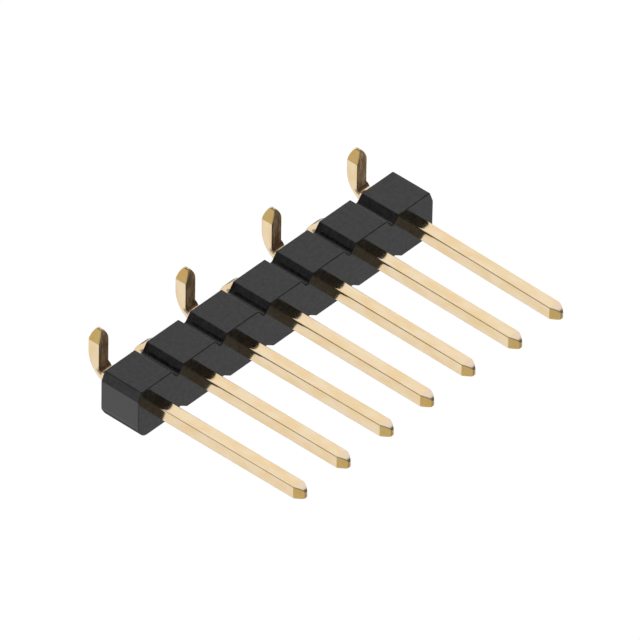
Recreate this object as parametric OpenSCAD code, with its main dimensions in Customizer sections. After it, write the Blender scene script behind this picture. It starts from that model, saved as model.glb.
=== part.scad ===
// Single-row surface-mount pin header: a notched moulded strip holding square
// wire contacts, each bent at its foot into a solder tail. The tails point to
// one side and the other in turn, so that the row stands on both rows of pads.
// Millimetres. X runs along the row, Z runs up the posts, and the board is Z = 0.

/* [Row] */
// Number of contacts in the row
pin_count = 7; // [2:1:20]
// Distance from one contact's axis to the next
pitch = 2.54; // [2.2:0.01:3]

/* [Insulator] */
// Width of the strip across the row
strip_w = 2.36; // [2:0.02:2.6]
// Height of the strip along the posts
strip_h = 2; // [1.5:0.1:3]
// Height of the strip's underside above the board
standoff = 1.46; // [1.2:0.02:2]
// Distance from an end contact's axis to the strip's end face
end_reach = 1.09; // [0.95:0.01:1.1]
// Half the width of a break-off notch at its mouth
notch_half_w = 0.35; // [0.25:0.01:0.4]
// Depth of a break-off notch
notch_d = 0.38; // [0.25:0.01:0.45]
// Radius of the root of a notch
notch_r = 0.14; // [0.05:0.01:0.16]
// Length of the corner cut at each end, along the row
end_cut_x = 0.25; // [0.1:0.01:0.35]
// Length of the same corner cut, across the row
end_cut_y = 0.46; // [0.2:0.01:0.6]

/* [Contacts] */
// Side of the square wire
wire = 0.58; // [0.5:0.01:0.64]
// Radius along the wire's four edges
wire_r = 0.1; // [0.03:0.01:0.12]
// Inside radius of the bend at the foot
bend_r = 0.29; // [0.15:0.01:0.4]
// How much more than a plain bend's the outside radius is, where the wire is drawn thin
bend_draw = 0.25; // [0.05:0.01:0.3]
// Length of a post above the strip
post_l = 7.94; // [4:0.02:12]
// Distance from the row's centre line to a tail's tip
tail_reach = 2.2; // [2:0.02:3]
// Length of the pinched nose on a post
post_nose = 0.46; // [0.3:0.02:0.8]
// Length of the pinched nose on a tail
tail_nose = 0.44; // [0.3:0.02:0.7]
// Thickness of a nose's end, along the row
tip_t = 0.1; // [0.06:0.01:0.2]
// Width of a nose's end, across its thickness
tip_w = 0.28; // [0.2:0.02:0.4]
// Radius of the corners of a nose's end
tip_r = 0.04; // [0.02:0.01:0.05]

/* [Hidden] */
// Facets of the round edges and of the bend
$fn = 48;
// Length of the row between its end contacts' axes
row_l = (pin_count - 1) * pitch;
// Half the length of the strip
strip_half_l = row_l / 2 + end_reach;
// Half the side of the wire
half_wire = wire / 2;
// Where the bend's axis lies, outwards from the row and up from the board
bend_y = half_wire + bend_r;
bend_z = wire + bend_r;
// Outside radius of the bend
bend_out_r = bend_r + wire + bend_draw;
// Height of the top of the posts above the board
post_top = standoff + strip_h + post_l;
// Colours of the moulding and of the plating
strip_colour = [0.13, 0.13, 0.135];
plating_colour = [0.93, 0.80, 0.55];

// Place of contact i along the row, counted from 1
function contact_x(i) = (i - 1) * pitch - row_l / 2;

// Outline of the strip before its notches are cut: a bar with its corners cut off
module strip_outline() {
    end_x = strip_half_l;
    side_y = strip_w / 2;
    cut_x = end_x - end_cut_x;
    cut_y = side_y - end_cut_y;
    polygon([
        [end_x, -cut_y], [end_x, cut_y], [cut_x, side_y], [-cut_x, side_y],
        [-end_x, cut_y], [-end_x, -cut_y], [-cut_x, -side_y], [cut_x, -side_y]
    ]);
}

// A notch in the side y = 0 that opens upwards: two straight walls that run
// into a round root
module notch() {
    // the walls end 2 micrometres inside the root circle, so that they cross it
    root = [0, notch_r - notch_d];
    reach = norm([notch_half_w, root[1]]);
    wall_r = notch_r - 0.002;
    lean = atan2(notch_half_w, -root[1]) - asin(wall_r / reach);
    touch = [wall_r * cos(lean), root[1] - wall_r * sin(lean)];
    polygon([
        [-touch[0], touch[1]], [touch[0], touch[1]],
        [notch_half_w, 0], [notch_half_w, notch_d], [-notch_half_w, notch_d], [-notch_half_w, 0]
    ]);
    translate(root) circle(notch_r);
}

// The moulded strip, closed tightly round each contact
module insulator() {
    color(strip_colour)
    translate([0, 0, standoff])
    linear_extrude(strip_h)
    difference() {
        strip_outline();
        for (i = [1:pin_count])
            translate([contact_x(i), 0]) wire_section();
        for (i = [1:pin_count - 1], side = [0, 1])
            translate([contact_x(i) + pitch / 2, 0])
            mirror([0, side])
            translate([0, strip_w / 2])
                notch();
    }
}

// Cross-section of the wire: a square with rounded corners
module wire_section() {
    flat = wire - 2 * wire_r;
    square([wire, flat], center = true);
    square([flat, wire], center = true);
    for (x = [-1, 1], y = [-1, 1])
        translate([x * flat / 2, y * flat / 2]) circle(wire_r);
}

// Outline of a straight length of wire with its nose, seen from the side that
// shows the pinch: two flat faces that close in to a thin end
module pinched_outline(length, nose) {
    slope = atan2(half_wire - tip_t / 2, nose);
    round_x = tip_t / 2 - tip_r * (1 - sin(slope)) / cos(slope);
    round_y = length - tip_r;
    touch = [round_x + tip_r * cos(slope), round_y + tip_r * sin(slope)];
    polygon([
        [-half_wire, 0], [half_wire, 0], [half_wire, length - nose], touch,
        [round_x, round_y], [round_x, length], [-round_x, length], [-round_x, round_y],
        [-touch[0], touch[1]], [-half_wire, length - nose]
    ]);
    for (x = [-1, 1])
        translate([x * round_x, round_y]) circle(tip_r);
}

// The same length of wire seen from the other side: two arcs that leave the
// wire's sides at a slight angle and end at the nose's width
module crowned_outline(length, nose) {
    start = 3;
    drop = half_wire - tip_w / 2;
    crown_r = norm([nose, drop]) / (2 * sin(atan2(drop, nose) - start));
    centre_x = crown_r * cos(start) - half_wire;
    centre_y = length - nose - crown_r * sin(start);
    translate([-half_wire, 0]) square([wire, length - nose]);
    intersection() {
        translate([-half_wire, length - nose]) square([wire, nose]);
        translate([centre_x, centre_y]) circle(crown_r);
        translate([-centre_x, centre_y]) circle(crown_r);
    }
}

// A straight length of wire along +Z with a nose at its far end, pinched along
// X and crowned along Y
module nosed_wire(length, nose) {
    intersection() {
        linear_extrude(length) wire_section();
        rotate([90, 0, 0]) linear_extrude(2 * wire, center = true) pinched_outline(length, nose);
        rotate([90, 0, 90]) linear_extrude(2 * wire, center = true) crowned_outline(length, nose);
    }
}

// What the drawing of the bend takes off its outside, in the contact's side
// view with Y to the right and Z up. The arc reaches 2 micrometres past the
// wire's flat sides, so that it meets them at a slight angle.
module drawn_corner() {
    translate([-half_wire, 0])
    difference() {
        translate([-wire, -wire]) square(wire + bend_out_r);
        translate([bend_out_r, bend_out_r]) circle(bend_out_r + 0.002);
    }
}

// One contact with its tail towards +Y: post, quarter bend and tail
module contact() {
    difference() {
        union() {
            translate([0, 0, bend_z])
                nosed_wire(post_top - bend_z, post_nose);
            translate([0, bend_y, bend_z])
            rotate([180, 90, 0])
            rotate_extrude(angle = 90)
            translate([bend_r + half_wire, 0])
                wire_section();
            translate([0, bend_y, half_wire])
            rotate([-90, 0, 0])
                nosed_wire(tail_reach - bend_y, tail_nose);
        }
        rotate([90, 0, 90])
        linear_extrude(2 * wire, center = true)
            drawn_corner();
    }
}

// Contact i of the row: odd ones have their tails towards +Y, even ones towards -Y
module pin(i) {
    color(plating_colour)
    translate([contact_x(i), 0, 0])
    mirror([0, (i + 1) % 2, 0])
        contact();
}

insulator();
for (i = [1:pin_count])
    pin(i);
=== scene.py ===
import math
import bmesh
import bpy
import numpy as np
from mathutils import Matrix, Vector


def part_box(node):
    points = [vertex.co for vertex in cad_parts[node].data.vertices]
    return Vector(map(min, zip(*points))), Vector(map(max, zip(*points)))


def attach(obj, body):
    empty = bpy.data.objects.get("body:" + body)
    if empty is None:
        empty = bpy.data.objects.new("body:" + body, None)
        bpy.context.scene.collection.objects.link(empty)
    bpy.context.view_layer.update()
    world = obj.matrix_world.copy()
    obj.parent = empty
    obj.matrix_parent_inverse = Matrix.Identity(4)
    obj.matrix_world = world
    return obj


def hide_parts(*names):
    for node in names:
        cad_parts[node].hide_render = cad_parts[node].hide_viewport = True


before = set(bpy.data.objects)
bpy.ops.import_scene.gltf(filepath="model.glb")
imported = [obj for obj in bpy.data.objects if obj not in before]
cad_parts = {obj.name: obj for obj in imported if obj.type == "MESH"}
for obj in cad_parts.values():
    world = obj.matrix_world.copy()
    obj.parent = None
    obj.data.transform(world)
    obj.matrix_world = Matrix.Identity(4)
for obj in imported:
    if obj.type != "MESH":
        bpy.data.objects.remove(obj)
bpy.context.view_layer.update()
mm = 0.001  # the shapes below are worked out in millimetres
print("frame loaded:", len(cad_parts), "nodes")


camera = {
    "azimuth": -138.38,  # where the camera stands, in degrees round the posts from -Y
    "elevation": 30.35,
    "roll": 120.75,
    "aim": (-0.02, 0.74, 5.24),  # the point in the middle of the view, in mm
    "distance": 608.0,  # from there, in mm
    "lens": 863.0,
    "clip": (0.05, 5.0),  # in metres
}


def buildCamera(c):
    data = bpy.data.cameras.new("camera")
    data.lens = c["lens"]
    data.clip_start, data.clip_end = c["clip"]
    cam = bpy.data.objects.new("camera", data)
    bpy.context.collection.objects.link(cam)
    a, e = math.radians(c["azimuth"]), math.radians(c["elevation"])
    back = Vector((math.sin(a) * math.cos(e), -math.cos(a) * math.cos(e), math.sin(e)))
    turn = back.to_track_quat("Z", "Y").to_matrix() @ Matrix.Rotation(math.radians(c["roll"]), 3, "Z")
    place = Vector(c["aim"]) + back * c["distance"]
    cam.matrix_world = Matrix.Translation(place * mm) @ turn.to_4x4()
    bpy.context.scene.camera = cam


buildCamera(camera)
print("camera placed")


# a node's output that ordinary arithmetic works on: each operation adds one Math node
class Socket:
    def __init__(self, nodes, out):
        self.nodes, self.out = nodes, out

    def math(self, operation, *others):
        return self.nodes.add("Math", {"operation": operation}, dict(enumerate([self, *others])))

    def __add__(self, other):
        return self.math("ADD", other)

    __radd__ = __add__

    def __sub__(self, other):
        return self.math("SUBTRACT", other)

    def __rsub__(self, other):
        return self.nodes.add("Math", {"operation": "SUBTRACT"}, {0: other, 1: self})

    def __mul__(self, other):
        return self.math("MULTIPLY", other)

    __rmul__ = __mul__


# the nodes of one material or world
class NodeSet:
    def __init__(self, owner):
        owner.use_nodes = True
        self.tree = owner.node_tree
        self.tree.nodes.clear()

    # settings are the node's properties, inputs the values or links of its sockets, and out is the output
    # that is worked on with
    def add(self, kind, settings=None, inputs=None, out=0):
        node = self.tree.nodes.new("ShaderNode" + kind)
        for name, value in (settings or {}).items():
            setattr(node, name, value)
        for name, value in (inputs or {}).items():
            if isinstance(value, Socket):
                self.tree.links.new(value.out, node.inputs[name])
            else:
                node.inputs[name].default_value = value
        return Socket(self, node.outputs[out]) if node.outputs else None

    # 0 where value is under low, 1 where it is over high, and smooth between them
    def fade(self, value, low, high):
        settings = {"interpolation_type": "SMOOTHSTEP"}
        return self.add("MapRange", settings, {"Value": value, "From Min": low, "From Max": high})

    def mixColour(self, amount, first, second):
        return self.add("Mix", {"data_type": "RGBA"}, {0: amount, 6: first, 7: second}, out=2)

    def noise(self, place, scale=1.0, detail=2.0, roughness=0.5):
        settings = {"noise_dimensions": "3D"}
        inputs = {"Vector": place, "Scale": scale, "Detail": detail, "Roughness": roughness}
        return self.add("TexNoise", settings, inputs)

    # the place with each of its axes multiplied by its own number
    def stretch(self, place, scale):
        return self.add("Mapping", {}, {"Vector": place, "Scale": scale})

    # a vector's X, Y and Z
    def parts(self, vector):
        first = self.add("SeparateXYZ", {}, {0: vector})
        return [Socket(self, output) for output in first.out.node.outputs]


def grey(value):
    return (value, value, value, 1.0)


studio = {
    "floorSize": 400.0,  # in mm
    "floorColour": 0.9,
    "floorShadow": 0.06,  # how much of the floor's own shading shows
    "floorGlow": 1.06,
    "wall": 1.0,  # how bright the white tent round the object is
    "roof": 0.66,  # and its upper half
    "horizon": (-0.05, 0.35),  # a direction's height at which the wall ends, and at which the roof begins
    # darker openings in the tent: the middle's direction, the degrees from it up to which the opening is
    # full and from which on the tent is whole again, and the brightness inside
    "openings": {
        "front": ((-0.617, 0.566, 0.547), 66.0, 84.0, 0.3),
        "right": ((0.61, 0.36, 0.708), 24.0, 44.0, 0.15),
        "left": ((-0.58, -0.64, -0.5), 30.0, 60.0, 0.93),
        "side": ((-0.573, -0.645, 0.505), 10.0, 20.0, 0.45),
        "back": ((0.41, -0.76, -0.5), 20.0, 45.0, 0.16),
    },
}


# brightness: the roof's above the horizon and the wall's below, faded to each opening's own inside it, and
# plain white where the camera looks past the floor
def buildWorld(c):
    world = bpy.data.worlds.new("studio")
    bpy.context.scene.world = world
    n = NodeSet(world)
    direction = n.add("TexCoord", out="Generated")
    height = n.parts(direction)[2]
    light = c["wall"] + (c["roof"] - c["wall"]) * n.fade(height, *c["horizon"])
    for centre, inner, outer, dark in c["openings"].values():
        axis = tuple(Vector(centre).normalized())
        towards = n.add("VectorMath", {"operation": "DOT_PRODUCT"}, {0: direction, 1: axis}, out="Value")
        opened = n.fade(towards, math.cos(math.radians(outer)), math.cos(math.radians(inner)))
        light = light + (dark - light) * opened
    seen = n.add("LightPath", out="Is Camera Ray")
    strength = light + seen * (1 - light)
    glow = n.add("Background", {}, {"Color": grey(1.0), "Strength": strength})
    n.add("OutputWorld", {}, {"Surface": glow})


# the camera sees a white floor with a faint shadow, and mirrors see the tent through it
def floorMaterial(c):
    material = bpy.data.materials.new("paleFloor")
    n = NodeSet(material)
    lit = n.add("BsdfDiffuse", {}, {"Color": grey(c["floorColour"])})
    white = n.add("Emission", {}, {"Color": grey(1.0), "Strength": c["floorGlow"]})
    mostlyWhite = n.add("MixShader", {}, {0: c["floorShadow"], 1: white, 2: lit})
    clear = n.add("BsdfTransparent")
    seen = n.add("LightPath", out="Is Camera Ray")
    glossy = n.add("LightPath", out="Is Glossy Ray")
    mirrored = glossy.math("MAXIMUM", n.add("LightPath", out="Is Transmission Ray"))
    solid = n.add("MixShader", {}, {0: seen, 1: lit, 2: mostlyWhite})
    surface = n.add("MixShader", {}, {0: mirrored, 1: solid, 2: clear})
    n.add("OutputMaterial", {}, {"Surface": surface})
    return material


def buildFloor(c):
    half = c["floorSize"] / 2 * mm
    corners = [(-half, -half, 0), (half, -half, 0), (half, half, 0), (-half, half, 0)]
    mesh = bpy.data.meshes.new("floor")
    mesh.from_pydata(corners, [], [(0, 1, 2, 3)])
    mesh.materials.append(floorMaterial(c))
    floor = bpy.data.objects.new("floor", mesh)
    bpy.context.collection.objects.link(floor)


buildWorld(studio)
buildFloor(studio)
print("studio built")


support = 0.02  # in mm: how far past an arc the next point of its side stands, which keeps the side flat


# rounds a polyline's corners: each gives way to an arc that touches both its sides, with its centre at
# corner - arriving * r * tan(turn / 2) + r towards the inside of the turn; the ends of an open line stay
# returns the points, their left-hand normals and the index of each corner's middle point
def roundPath(points, radii, steps, closed=False):
    places, normals, middles = [], [], []
    points = [np.array(p, float) for p in points]
    count = len(points)
    total = 0
    for i, (corner, radius) in enumerate(zip(points, radii)):
        before, after = points[i - 1], points[(i + 1) % count]
        if not closed and i in (0, count - 1):
            side = after - corner if i == 0 else corner - before
            side /= np.linalg.norm(side)
            places.append(corner[None])
            normals.append(np.array([[-side[1], side[0]]]))
            middles.append(total)
            total += 1
            continue
        arrive = (corner - before) / np.linalg.norm(corner - before)
        leave = (after - corner) / np.linalg.norm(after - corner)
        turn = math.atan2(arrive[0] * leave[1] - arrive[1] * leave[0], arrive @ leave)
        reach = radius * math.tan(abs(turn) / 2)
        sign = math.copysign(1, turn)
        left = np.array([-arrive[1], arrive[0]])
        centre = corner - arrive * reach + left * radius * sign
        angles = math.atan2(-left[1] * sign, -left[0] * sign) + turn * np.linspace(0, 1, 2 * steps + 1)
        ring = np.stack([np.cos(angles), np.sin(angles)], 1)
        arc = centre + radius * ring
        facing = -ring * sign
        places.append(np.concatenate([arc[:1] - arrive * support, arc, arc[-1:] + leave * support]))
        normals.append(np.concatenate([facing[:1], facing, facing[-1:]]))
        middles.append(total + steps + 1)
        total += 2 * steps + 3
    return np.concatenate(places), np.concatenate(normals), middles


# quads between each row of a closed grid and the next
def gridFaces(rows, columns):
    row = np.arange(rows - 1)[:, None] * columns
    column = np.arange(columns)[None, :]
    point = row + column
    beside = row + (column + 1) % columns
    return np.stack([point, beside, beside + columns, point + columns], -1).reshape(-1, 4)


# a mesh object from points in millimetres and quads: doubles merged, faces turned outwards; attributes are
# vectors for its points, by name
def makePiece(name, places, faces, attributes=None, mergeWithin=1e-4):
    mesh = bpy.data.meshes.new(name)
    mesh.from_pydata((places * mm).tolist(), [], faces.tolist())
    for label, values in (attributes or {}).items():
        layer = mesh.attributes.new(label, "FLOAT_VECTOR", "POINT")
        layer.data.foreach_set("vector", values.astype(np.float32).ravel())
    bm = bmesh.new()
    bm.from_mesh(mesh)
    bmesh.ops.remove_doubles(bm, verts=bm.verts, dist=mergeWithin * mm)
    bmesh.ops.delete(bm, geom=[v for v in bm.verts if not v.link_faces], context="VERTS")
    bmesh.ops.recalc_face_normals(bm, faces=bm.faces)
    bm.to_mesh(mesh)
    bm.free()
    mesh.shade_smooth()
    piece = bpy.data.objects.new(name, mesh)
    bpy.context.collection.objects.link(piece)
    return piece


# all lengths are in mm
contact = {
    "round": 0.045,  # along the wire's edges
    "noseRound": 0.025,  # the same on a nose
    "bendInside": 0.22,
    "bendDraw": 0.5,  # how much more than a plain bend's the outside radius is
    "bendBulge": 0.05,  # the inside of the bend swells sideways
    "bendRound": 0.5,  # how much more the outer edges are rounded in the bend
    # the length of a nose, half its end's thickness along the row, how full its facet towards +X is (1 is
    # flat), how far its end reaches towards +Y or up and towards -Y or down, and the rounding of the end in
    # both directions
    "postNose": {
        "length": 0.46, "thick": 0.05, "full": 1.5, "plus": 0.15, "minus": 0.21, "round": (0.035, 0.1)},
    "tailNose": {
        "length": 0.58, "thick": 0.05, "full": 2.0, "plus": 0.2, "minus": 0.06, "round": (0.035, 0.08)},
    "crownStart": 3.0,  # degrees, at most, between the wire's side and the start of a nose's crown
    "shift": (0.024, -0.04),  # of the contacts along the row, and of their posts across it
    "freeFrom": (1.2, 3.2),  # the heights between which a post takes up its shift across the row
    "lean": (0.0069, 0.0042, 0.0096, -0.006, -0.0102, -0.0123, -0.023),  # of each post across the row
    "short": (0.0, 0.0, 0.01, 0.14, 0.22, 0.0, 0.07),  # how much each post lacks of the longest
    "tailShort": 0.04,  # how much every tail lacks of the design's
    "wornFrom": (0.1125, 0.2375),  # the parts of the turn between which the tool's wear sets in
    "shankStart": 0.9,  # where the rows of points on a post's plain length begin
    "shankGap": 0.1,  # how far before the drawn stretch they end
    "shankRows": 24,
    "bendRows": 20,
    "drawnRows": (6, 4),  # on the stretches before the bend and after it that its drawing reaches
}


# how far a post stands across the row from its place: shift * level + lean * (height - end), where the
# level climbs from 0 to 1 between start and end, and the lean counts only above the end
def postShift(c, number, height):
    start, end = c["freeFrom"]
    level = np.clip((height - start) / (end - start), 0, 1)
    return c["shift"][1] * level + c["lean"][number - 1] * np.maximum(height - end, 0)


# half the thickness of a nose at a distance d from its end, and how far it reaches to its sign's side
# thickness: half - (half - tip) * ((length - d) / length) ^ full, where full is 1 towards -X, a flat facet
# reach: half - R * cos(start) + sqrt(R^2 - (length - d + R * sin(start))^2), an arc that leaves the wire's
# side at the angle start and comes to the end's own reach, so that R is half the chord / sin(slope - start)
# both lose r - sqrt(r^2 - (r - d)^2) next to the end, which rounds it
def noseSize(c, away, nose, half, signP, signQ):
    length = nose["length"]
    left = np.maximum(length - away, 0)
    full = np.where(signP > 0, nose["full"], 1.0)
    thick = half - (half - nose["thick"]) * (left / length) ** full
    reaches = []
    for tip in (nose["minus"], nose["plus"]):
        drop = half - tip
        slope = math.atan2(drop, length)
        start = min(math.radians(c["crownStart"]), slope / 2)
        crown = math.hypot(length, drop) / (2 * math.sin(slope - start))
        arc = half - crown * math.cos(start) + np.sqrt(crown ** 2 - (left + crown * math.sin(start)) ** 2)
        reaches.append(np.where(left > 0, arc, half))
    reach = np.where(signQ < 0, reaches[0], reaches[1])
    sizes = []
    for size, r in zip((thick, reach), nose["round"]):
        within = np.clip(r - away, 0, r)
        sizes.append(size - r + np.sqrt(r ** 2 - within ** 2))
    return sizes


# distances from a nose's end at which a row of points goes: as 1 - cos(t) where the end is rounded, then
# evenly, and close together at the shoulder, where the nose meets the wire
def noseRows(nose, endRows=9, middleRows=8, shoulder=(-0.012, 0, 0.012, 0.1)):
    end = max(nose["round"]) * (1 - np.cos(np.linspace(0, math.pi / 2, endRows)))
    middle = np.linspace(end[-1], nose["length"], middleRows + 2)[1:-1]
    return np.concatenate([end, middle, nose["length"] + np.array(shoulder)])


# the distances along the wire of all its rows of points: the post's nose and shank, the drawn stretch up to
# the bend, the bend, the drawn stretch past it and the tail's nose
def wireRows(c, postLength, bendLength, length):
    draw = c["bendDraw"]
    before, after = c["drawnRows"]
    return np.concatenate([
        noseRows(c["postNose"]),
        np.linspace(c["shankStart"], postLength - draw - c["shankGap"], c["shankRows"]),
        postLength - draw * np.linspace(1, 0, before),
        postLength + bendLength * np.linspace(0, 1, c["bendRows"] + 1)[1:],
        postLength + bendLength + draw * np.linspace(0, 1, after + 1)[1:],
        length - noseRows(c["tailNose"])[::-1]])


# one round of the wire: for each point the signs of its corner, its angle on the corner's arc, and the part
# of the flat side that it lies back from that arc
def wireSection(steps=5, flatBack=0.25):
    signs, angles, backs = [], [], []
    for k, corner in enumerate([(1, 1), (-1, 1), (-1, -1), (1, -1)]):
        arc = math.pi / 2 * k + np.linspace(0, math.pi / 2, steps + 1)
        signs.append(np.tile(corner, (steps + 3, 1)))
        angles.append(np.concatenate([arc[:1], arc, arc[-1:]]))
        first = [k % 2, 1 - k % 2]
        backs.append(np.concatenate([[first], np.zeros((steps + 1, 2)), [first[::-1]]]) * flatBack)
    return np.concatenate(signs), np.concatenate(angles), np.concatenate(backs)


# how far the outside of a drawn bend lies inside a plain one, at a distance beside the bend or at an angle
# phi round it: the gap between a circle of radius plain with its two flats and one of radius plain + draw
# that touches the same flats, each of them draw further along
def drawnGap(draw, plain, beside, phi):
    outer = plain + draw
    ahead = draw * (np.cos(phi) + np.sin(phi))
    onFlat = outer - np.sqrt(outer ** 2 - np.maximum(draw - beside, 0) ** 2)
    onBend = plain + ahead - np.sqrt(ahead ** 2 - 2 * draw ** 2 + outer ** 2)
    return np.where(beside > 0, onFlat, onBend)


# a square section carried down the post, round the bend and out along the tail, with a nose at each end
# section: (p, q) = sign * (half - r) + r * (cos, sin) of the corner's angle
# bend: the section turns about an axis at half + inside radius; its outer half is pressed in by the drawn
# bend's gap, and its inner half swells as sin^2 of the turn
def buildContact(c, number):
    name = f"pin_{number}"
    low, high = [np.array(corner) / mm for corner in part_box(name)]
    x = (low[0] + high[0]) / 2 + c["shift"][0]
    half = (high[0] - low[0]) / 2
    side = 1 if high[1] > -low[1] else -1
    reach = max(high[1], -low[1]) - c["tailShort"]
    bendCentre = half + c["bendInside"]  # out from the row
    bendHeight = 2 * half + c["bendInside"]
    postLength = high[2] - c["short"][number - 1] - bendHeight
    bendLength = bendCentre * math.pi / 2
    length = postLength + bendLength + reach - bendCentre
    s = wireRows(c, postLength, bendLength, length)[:, None]
    signs, angles, backs = wireSection()
    signP, signQ = signs.T[:, None]
    backP, backQ = backs.T[:, None]
    postSizes = noseSize(c, s, c["postNose"], half, signP, side * signQ)
    tailSizes = noseSize(c, length - s, c["tailNose"], half, signP, signQ)
    thick = np.minimum(postSizes[0], tailSizes[0])
    wide = np.minimum(postSizes[1], tailSizes[1])
    turned = np.clip((s - postLength) / bendLength, 0, 1)
    swell = np.sin(math.pi * turned) ** 2
    r = np.maximum(c["round"] - (half - thick), c["noseRound"]) * (1 + c["bendRound"] * swell * (signQ < 0))
    r = np.minimum(r, np.minimum(thick, wide))
    p = signP * (thick - r) * (1 - backP) + r * np.cos(angles)
    q = signQ * (wide - r) * (1 - backQ) + r * np.sin(angles)
    past = s - postLength - bendLength
    beside = np.maximum(np.maximum(postLength - s, past), 0)
    phi = turned * math.pi / 2
    level = q / half  # 1 on the inside of the bend, -1 on its outside
    q = q + drawnGap(c["bendDraw"], bendHeight, beside, phi) * np.maximum(-level, 0)
    p = p * (1 + c["bendBulge"] / half * swell * np.maximum(level, 0))
    radius = bendCentre - q
    y = np.where(turned > 0, bendCentre - radius * np.cos(phi), q) + np.maximum(past, 0)
    z = np.where(turned > 0, bendHeight - radius * np.sin(phi), bendHeight + postLength - s)
    places = np.stack([x + p, side * y + postShift(c, number, z), z], -1)
    # for the plating: the place on the straight wire, 10 mm further over for each contact so that no two
    # look alike; 1 on the noses' pinched facets, whose colour is partly painted shade, on a post's crown
    # and where the bending tool has worn it; and the part of the turn with the level
    wire = np.stack([p + 10 * number, q, s + 0 * p], -1)
    sharp = 6  # how quickly the masks fade along a corner's arc
    inside = 0.001  # how far within a nose its own begin, in mm
    onPost = (s < c["postNose"]["length"] - inside) * 1.0
    onTail = (length - s < c["tailNose"]["length"] - inside) * 1.0
    wornStart, wornEnd = c["wornFrom"]
    worn = np.clip((turned - wornStart) / (wornEnd - wornStart), 0, 1)
    facetDeepAndShaded, crown = np.cos(angles) ** sharp, np.sin(angles) ** sharp
    upper = np.maximum(np.sin(angles), 0) ** sharp
    platingAndShade = np.stack([(onPost + onTail) * facetDeepAndShaded, onPost * crown, worn * upper], -1)
    # the turn and the level also place the painted shade in the bend's inside corner
    bend = np.stack([turned + 0 * q, level, 0 * q], -1)
    # each end closes on its middle point
    ends = [np.broadcast_to(row.mean(1, keepdims=True), row.shape) for row in (places[:1], places[-1:])]
    places = np.concatenate([ends[0], places, ends[1]])
    attributes = {
        label: np.concatenate([values[:1], values, values[-1:]]).reshape(-1, 3)
        for label, values in (("wire", wire), ("platingAndShade", platingAndShade), ("bend", bend))}
    quads = gridFaces(len(places), places.shape[1])
    return makePiece(f"squareContact_{number}", places.reshape(-1, 3), quads, attributes)


# all lengths are in mm
strip = {
    "bays": 7,
    "pitch": 2.54,
    "notchHalfWidth": {1: 0.35, -1: 0.42},  # on the side towards +Y and the one towards -Y
    "notchDepth": {1: 0.38, -1: 0.25},
    "notchRoot": 0.14,
    "notchMouth": 0.09,  # rounding of its mouth
    "notchShift": {1: -0.07, -1: 0.1},  # against the middle between two contacts
    # for an end corner, by the sides in X and Y that it is on: how far its cut reaches along the strip and
    # across it, and the rounding of the cut's edges
    "endCut": {(-1, 1): (0.2, 0.42), (1, 1): (0.2, 0.6), (1, -1): (0.25, 0.45), (-1, -1): (0.3, 0.5)},
    "endRound": {(-1, 1): 0.05, (1, 1): 0.08, (1, -1): 0.08, (-1, -1): 0.45},
    "lastBaySet": 0.07,  # how far the last bay's side towards +Y stands back
    "edgeRound": 0.035,  # round both faces
    "holeEdge": 0.008,  # rounding of a hole's edges
    "holeGap": 0.002,  # between the plastic and a contact
    "holeMargin": 0.1,  # the width of a flat ring round each hole
    "faceRows": 3,  # rows of points on each face between that ring and the rounded edge
    "seamPoints": 15,  # along the line between two bays
}


# the strip seen from the posts' side, clockwise from its corner at -X and +Y: straight sides with a V notch
# between each two bays and a cut corner at each end, every corner rounded
# a notch's straight sides touch the circle of its root, whose centre is root deep, so their angle to the
# notch's middle is atan(wide / root) - asin(r / hypot(wide, root))
def stripOutline(c, halfLength, halfWidth):
    corners, radii = [], []
    for side in (1, -1):
        wide = c["notchHalfWidth"][side]
        root = c["notchDepth"][side] - c["notchRoot"]
        lean = math.atan2(wide, root) - math.asin(c["notchRoot"] / math.hypot(wide, root))
        apex = wide / math.tan(lean)
        firstX = c["endCut"][(-side, side)][0]
        lastX, lastY = c["endCut"][(side, side)]
        nextY = c["endCut"][(side, -side)][1]
        lastSet = c["lastBaySet"] if side == 1 else 0
        corners.append((-side * (halfLength - firstX), side * halfWidth))
        radii.append(c["endRound"][(-side, side)])
        for j in range(c["bays"] - 1):
            x = side * (j + 1 - c["bays"] / 2) * c["pitch"] + c["notchShift"][side]
            after = lastSet if j == c["bays"] - 2 else 0
            corners += [(x - side * wide, side * halfWidth), (x, side * (halfWidth - apex)),
                        (x + side * wide, side * (halfWidth - after))]
            radii += [c["notchMouth"], c["notchRoot"], c["notchMouth"]]
        corners += [(side * (halfLength - lastX), side * (halfWidth - lastSet)),
                    (side * halfLength, side * (halfWidth - lastY)),
                    (side * halfLength, -side * (halfWidth - nextY))]
        lastRound, nextRound = c["endRound"][(side, side)], c["endRound"][(side, -side)]
        radii += [lastRound, lastRound, nextRound]
    return roundPath(corners, radii, steps=4, closed=True)


# which of the outline's points lie on a bay's four sides, clockwise from the one towards +Y; a long side
# runs from the middle of one notch's root to that of the next, and a side is None where the next bay begins
# on each long side the corners are one at its start, three for each notch and three at its end, so the root
# between bays j and j + 1 is corner 3 * j + 2
def baySides(c, bay, middles, count):
    last = c["bays"] - 1
    opposite = len(middles) // 2  # the first corner on the side towards -Y
    start = 3 * bay - 1 if bay else 0
    end = 3 * bay + 2 if bay < last else 3 * last + 1
    under = opposite + 3 * (last - bay) - 1 if bay < last else opposite
    underEnd = opposite + 3 * (last - bay) + 2 if bay else opposite + 3 * last + 1
    sides = [np.arange(middles[start], middles[end] + 1), None,
             np.arange(middles[under], middles[underEnd] + 1), None]
    if bay == last:
        sides[1] = np.arange(middles[end], middles[under] + 1)
    if bay == 0:
        sides[3] = np.arange(middles[underEnd], middles[start] + count + 1) % count
    return sides


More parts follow.
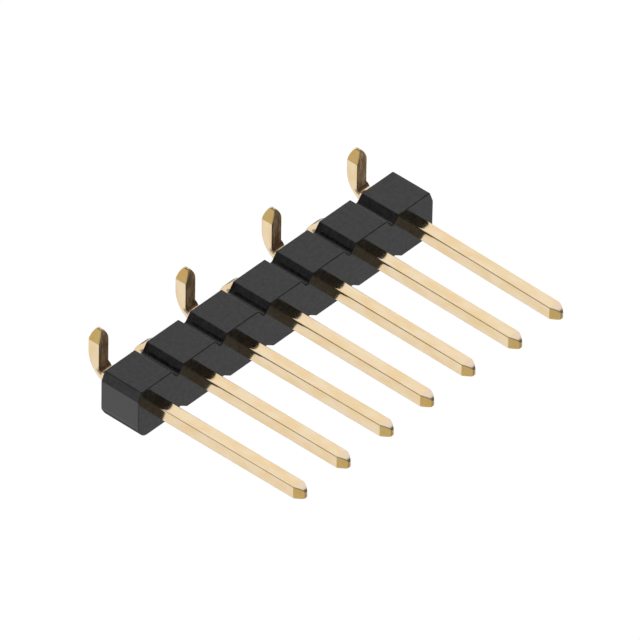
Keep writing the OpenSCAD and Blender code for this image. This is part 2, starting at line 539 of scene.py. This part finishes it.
# a quarter of the hole round a contact for each side of a bay: with t from 0 to 1 along the side, the point
# runs over half a corner's arc, a flat and half an arc, and the quarter is turned by 90 degrees times the
# number of the side
def holeSide(c, t, half, turns):
    h = half + c["holeGap"]
    r = contact["round"] + c["holeGap"]
    flat = h - r
    arc = r * math.pi / 4
    s = t * 2 * (arc + flat)
    theta = (np.clip(arc - s, 0, arc) - np.clip(s - arc - 2 * flat, 0, arc)) / r
    along = np.clip(s - arc, 0, 2 * flat) - flat
    facing = np.stack([-np.sin(theta), np.cos(theta)], 1)
    points = np.stack([along, 0 * along + flat], 1) + r * facing
    angle = -math.pi / 2 * turns
    turn = np.array([[math.cos(angle), math.sin(angle)], [-math.sin(angle), math.cos(angle)]])
    return points @ turn, facing @ turn


# a profile of insets and heights carried along a loop of points, each inset against the point's normal
def carry(profile, loop, facing):
    flatPart = loop[None] - facing[None] * profile[:, :1, None]
    height = np.broadcast_to(profile[:, 1, None, None], flatPart.shape[:2] + (1,))
    return np.concatenate([flatPart, height], 2)


# a bay's loop of wall points with their normals, which of them lie on the line to the next bay, and as many
# points and normals round the contact's hole
def bayLoops(c, sides, outline, normals, halfWire):
    loops = []
    for k, part in enumerate(sides):
        if part is None:
            t = np.linspace(0, 1, c["seamPoints"])[:, None]
            first, second = sides[k - 1][-1], sides[(k + 1) % 4][0]
            wall = outline[first] * (1 - t) + outline[second] * t
            facing = normals[first] * (1 - t) + normals[second] * t
        else:
            wall, facing = outline[part], normals[part]
        count = len(wall)
        seam = (np.arange(count) % (count - 1) > 0) & (part is None)
        loops.append([wall, facing, seam, *holeSide(c, np.linspace(0, 1, count), halfWire, k)])
    # the last point of a side is the first of the next
    return [np.concatenate([values[:-1] for values in kind]) for kind in zip(*loops)]


# the strip is one shell made bay by bay: each bay's loop of wall points is joined over both faces to a loop
# round its contact's hole, and there is no wall on the line between two bays
def buildStrip(c):
    low, high = [np.array(corner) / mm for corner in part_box("insulator")]
    pinLow, pinHigh = [np.array(corner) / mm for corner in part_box("pin_1")]
    halfWire = (pinHigh[0] - pinLow[0]) / 2
    outline, normals, middles = stripOutline(c, high[0], high[1])
    # profiles of insets and heights: up the wall, and down the hole with its ring on each face
    deep = c["edgeRound"] + support
    wall = roundPath([(deep, low[2]), (0, low[2]), (0, high[2]), (deep, high[2])],
                     [0, c["edgeRound"], c["edgeRound"], 0], steps=3)[0]
    margin = c["holeMargin"]
    hole = roundPath([(-margin, high[2]), (0, high[2]), (0, low[2]), (-margin, low[2])],
                     [0, c["holeEdge"], c["holeEdge"], 0], steps=2)[0]
    across = np.linspace(0, 1, c["faceRows"] + 2)[1:-1, None, None]
    places, faces = [], []
    total = 0
    for bay in range(c["bays"]):
        sides = baySides(c, bay, middles, len(outline))
        ring, ringFacing, seam, holes, holeFacing = bayLoops(c, sides, outline, normals, halfWire)
        outer = carry(wall, ring, ringFacing)
        inner = carry(hole, holes, holeFacing)
        inner[..., 0] += (bay - (c["bays"] - 1) / 2) * c["pitch"] + contact["shift"][0]
        inner[..., 1] += postShift(contact, bay + 1, inner[..., 2])
        upper = outer[-1] + (inner[0] - outer[-1]) * across
        lower = inner[-1] + (outer[0] - inner[-1]) * across
        grid = np.concatenate([outer, upper, inner, lower, outer[:1]])
        quads = gridFaces(len(grid), grid.shape[1])
        row, column = np.divmod(np.arange(len(quads)), grid.shape[1])
        isSeam = (seam | np.roll(seam, -1))[column] & (row < len(outer) - 1)  # the faces left out
        places.append(grid.reshape(-1, 3))
        faces.append(quads[~isSeam] + total)
        total += len(places[-1])
    return makePiece("mouldedStrip", np.concatenate(places), np.concatenate(faces))


plasticLook = {
    "dark": 0.0,
    "light": 0.026,
    "grainRange": (0.38, 0.62),  # the grain's values up to which it is dark and from which it is light
    "grainWaves": 5.0,  # per mm
    "grainDepth": 0.0015,  # in mm
    "paintedEndLight": 0.062,  # painted light: the strip's two end faces are made paler than the rest, standing for the stronger light that falls on them
    "endDepth": 0.008,  # how far in from an end's plane that begins, in mm
    "roughness": 0.13,
    "uneven": 0.04,  # how much the roughness varies
    "unevenWaves": 1.4,  # per mm
    "ior": 1.47,
}


def blackPlastic(c):
    material = bpy.data.materials.new("blackPlastic")
    n = NodeSet(material)
    place = n.stretch(n.add("TexCoord", out="Object"), (1 / mm, 1 / mm, 1 / mm))
    cloud = n.noise(place, c["unevenWaves"], detail=3)
    grain = n.noise(place, c["grainWaves"], detail=3, roughness=0.7)
    colour = n.mixColour(n.fade(grain, *c["grainRange"]), grey(c["dark"]), grey(c["light"]))
    along = n.parts(place)[0].math("ABSOLUTE")
    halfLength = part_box("insulator")[1][0] / mm
    # painted light: the end faces paler than the rest
    end = n.fade(along, halfLength - 2 * c["endDepth"], halfLength - c["endDepth"])
    colour = n.mixColour(end, colour, grey(c["paintedEndLight"]))
    bump = n.add("Bump", {}, {"Strength": 1.0, "Distance": c["grainDepth"] * mm, "Height": grain})
    roughness = c["roughness"] + c["uneven"] * (cloud - 0.5)
    shader = n.add("BsdfPrincipled", {}, {
        "Base Color": colour, "Roughness": roughness, "IOR": c["ior"], "Normal": bump})
    n.add("OutputMaterial", {}, {"Surface": shader})
    return material


platingLook = {
    "colour": (0.86, 0.65, 0.38, 1),
    "paler": (0.89, 0.725, 0.5, 1),
    "facetDeepAndShaded": (0.62, 0.39, 0.13, 1),  # the pinched facets: a deeper plating colour, partly darkened as painted shade of their darker surroundings
    "facetPaleAndShaded": (0.57, 0.43, 0.175, 1),
    "crown": (0.82, 0.66, 0.5, 1),
    "worn": (1.0, 0.78, 0.5, 1),  # the upper face of a tail and the inside of its bend
    "wornDark": (0.54, 0.35, 0.2, 1),
    "paintedBendShade": (0.24, 0.14, 0.08, 1),  # painted shade in the inside corner of the bend, where the strip shades it
    "paintedBendShadeShare": 0.85,  # how much of the wear's colour it covers
    "paintedBendShadeTurn": (0.08, 0.2, 0.5, 0.8),  # the parts of the turn between which it comes in and fades out
    "paintedBendShadeLevel": (0.05, 0.4),  # the levels between the bend's outside and inside where it comes in
    # waves per mm: two numbers across the wire and one along it, or one for all directions
    "lineWaves": (30, 30, 0.6),  # of the lines that drawing leaves in the wire
    "streakWaves": (9, 9, 1.5),  # of the wear's two colours
    "patchWaves": (2.5, 2.5, 1.2),  # of the plain plating's
    "spotWaves": 5,  # of the facets'
    "pitWaves": 14,
    "pitShare": 0.3,  # of the relief; the rest is the lines
    "reliefDepth": 0.0003,  # in mm
    "roughness": 0.12,
    "uneven": 0.08,  # how much the roughness varies with the lines
    "wornRoughness": 0.7,
}


def goldPlating(c):
    material = bpy.data.materials.new("goldPlating")
    n = NodeSet(material)
    wire, platingAndShade, bend = [
        n.add("Attribute", {"attribute_name": name}, out="Vector") for name in ("wire", "platingAndShade", "bend")]
    facetDeepAndShaded, crown, worn = n.parts(platingAndShade)
    turned, level = n.parts(bend)[:2]
    lines = n.noise(n.stretch(wire, c["lineWaves"]), detail=3, roughness=0.6)
    pits = n.noise(wire, c["pitWaves"])
    patches = n.fade(n.noise(n.stretch(wire, c["patchWaves"])), 0.3, 0.7)
    spots = n.fade(n.noise(wire, c["spotWaves"]), 0.4, 0.6)
    streaks = n.fade(n.noise(n.stretch(wire, c["streakWaves"]), detail=3, roughness=0.6), 0.35, 0.65)
    colour = n.mixColour(patches, c["colour"], c["paler"])
    colour = n.mixColour(crown, colour, c["crown"])
    # the facets' colours: a deeper plating colour, partly painted shade
    colour = n.mixColour(facetDeepAndShaded, colour, n.mixColour(spots, c["facetDeepAndShaded"], c["facetPaleAndShaded"]))
    colour = n.mixColour(worn, colour, n.mixColour(streaks, c["wornDark"], c["worn"]))
    # painted shade: a dark patch in the inside corner of the bend, where the strip shades it
    begin, full, fading, end = c["paintedBendShadeTurn"]
    paintedBendShadeMask = n.fade(level, *c["paintedBendShadeLevel"]) * n.fade(turned, begin, full)
    paintedBendShadeMask = paintedBendShadeMask * (1 - n.fade(turned, fading, end))
    colour = n.mixColour(paintedBendShadeMask * c["paintedBendShadeShare"], colour, c["paintedBendShade"])
    relief = lines * (1 - c["pitShare"]) + pits * c["pitShare"]
    bump = n.add("Bump", {}, {"Strength": 1.0, "Distance": c["reliefDepth"] * mm, "Height": relief})
    roughness = c["roughness"] + c["uneven"] * (lines - 0.5) + (c["wornRoughness"] - c["roughness"]) * worn
    shader = n.add("BsdfPrincipled", {}, {
        "Base Color": colour, "Metallic": 1.0, "Roughness": roughness, "Normal": bump})
    n.add("OutputMaterial", {}, {"Surface": shader})
    return material


plastic = blackPlastic(plasticLook)
gold = goldPlating(platingLook)
print("materials made")

moulded = buildStrip(strip)
moulded.data.materials.append(plastic)
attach(moulded, "root")
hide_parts("insulator")
print("strip built:", len(moulded.data.polygons), "faces")

for number in range(1, strip["bays"] + 1):
    pin = buildContact(contact, number)
    pin.data.materials.append(gold)
    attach(pin, "root")
    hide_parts(f"pin_{number}")
print("contacts built:", len(pin.data.polygons), "faces each")

bpy.context.scene.view_settings.view_transform = "Standard"
